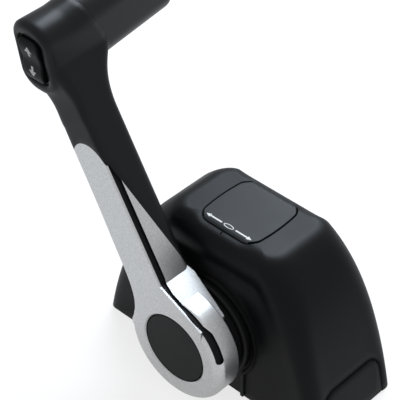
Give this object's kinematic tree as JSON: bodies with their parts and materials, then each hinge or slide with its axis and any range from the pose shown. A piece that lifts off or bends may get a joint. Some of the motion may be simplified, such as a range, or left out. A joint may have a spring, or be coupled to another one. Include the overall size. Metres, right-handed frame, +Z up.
{
  "type": "boat throttle control lever",
  "caption": "Top-mount single-lever boat throttle and shift control: domed housing, leaning cast lever with T-grip and rocker switch, geared cable arms inside.",
  "frame": {"origin": "centre of the base's footprint, on the console face", "axes": "+X to starboard (away from the lever), +Y forward (the way the lever leans at rest), +Z up from the console"},
  "size_m": [0.1147, 0.207, 0.2505],
  "materials": {
    "cover_plastic": "satin charcoal moulding, lightly grained",
    "plate_plastic": "smooth satin black",
    "boss_plastic": "fine spark texture",
    "lever_metal": "satin silver casting",
    "inlay_rubber": "matt black",
    "handle_plastic": "satin black moulding",
    "grip_rubber": "soft-touch black",
    "rocker_plastic": "satin black",
    "bezel_plastic": "black",
    "switch_plastic": "moulded grey",
    "button_plastic": "satin black",
    "gasket_rubber": "matt black foam rubber",
    "base_metal": "cast, painted grey",
    "frame_steel": "zinc plated",
    "shaft_steel": "ground",
    "gear_steel": "machined, greased",
    "screw_steel": "stainless",
    "spring_steel": "spring wire",
    "bush_bronze": "sintered bronze",
    "seal_felt": "dark felt",
    "clamp_plastic": "moulded black nylon",
    "shoe_brass": "machined"
  },
  "bodies": {
    "base": {"main_cover": "cover_plastic", "top_plate": "plate_plastic", "aft_screw_cover": "cover_plastic", "forward_screw_cover": "cover_plastic", "cover_screws": "screw_steel", "base_plate": "base_metal", "base_gasket": "gasket_rubber", "port_boss": "boss_plastic", "port_bush": "bush_bronze", "hub_seal": "seal_felt", "port_frame": "frame_steel", "starboard_frame": "frame_steel", "starboard_bush": "bush_bronze", "frame_spacers": "frame_steel", "frame_screws": "screw_steel", "friction_bridge": "frame_steel", "friction_screw": "screw_steel", "friction_shoe": "shoe_brass", "detent_tube": "frame_steel", "detent_spring": "spring_steel", "detent_ball": "shaft_steel", "neutral_switch": "switch_plastic", "shift_cable_clamp": "clamp_plastic", "throttle_cable_clamp": "clamp_plastic", "clamp_screws": "screw_steel"},
    "lever": {"main_shaft": "shaft_steel", "shaft_clip": "spring_steel", "shaft_nut": "screw_steel", "shaft_washer": "screw_steel", "drive_gear": "gear_steel", "detent_wheel": "gear_steel", "lever_casting": "lever_metal", "groove_inlay": "inlay_rubber", "lever_screws": "screw_steel", "handle_moulding": "handle_plastic", "hand_grip": "grip_rubber", "switch_bezel": "bezel_plastic", "switch_body": "switch_plastic", "rocker_pin": "shaft_steel", "button_spring": "spring_steel"},
    "rocker": {"trim_rocker": "rocker_plastic"},
    "button": {"hub_button": "button_plastic", "push_rod": "shaft_steel"},
    "shift": {"shift_gear": "gear_steel", "shift_shaft": "shaft_steel", "shift_shaft_rings": "spring_steel", "shift_arm": "frame_steel", "shift_cable_pin": "screw_steel"},
    "throttle": {"throttle_gear": "gear_steel", "throttle_shaft": "shaft_steel", "throttle_shaft_rings": "spring_steel", "throttle_arm": "frame_steel", "throttle_cable_pin": "screw_steel"}
  },
  "joints": [
    {"name": "lever_hinge", "type": "hinge", "parent": "base", "child": "lever", "pos_m": [0, 0, 0.0445], "axis": [-1, 0, 0], "range_deg": [-96, 49]},
    {"name": "shift_turn", "type": "hinge", "parent": "base", "child": "shift", "pos_m": [0, 0.03, 0.067], "axis": [-1, 0, 0], "range_deg": [-33, 65]},
    {"name": "throttle_turn", "type": "hinge", "parent": "base", "child": "throttle", "pos_m": [0, -0.03, 0.067], "axis": [-1, 0, 0], "range_deg": [-33, 65]},
    {"name": "button_slide", "type": "slide", "parent": "lever", "child": "button", "axis": [1, 0, 0], "range_m": [0, 0.003], "stiffness_N_per_m": 600, "springref_m": -0.002},
    {"name": "rocker_tilt", "type": "hinge", "parent": "lever", "child": "rocker", "pos_m": [-0.06907, 0.1015, 0.21369], "axis": [0, 1, 0], "range_deg": [-6, 6], "stiffness_Nm_per_rad": 0.1}
  ],
  "couplings": [
    {"joint": "shift_turn", "follows": "lever_hinge", "ratio": -0.66667},
    {"joint": "throttle_turn", "follows": "lever_hinge", "ratio": -0.66667}
  ]
}
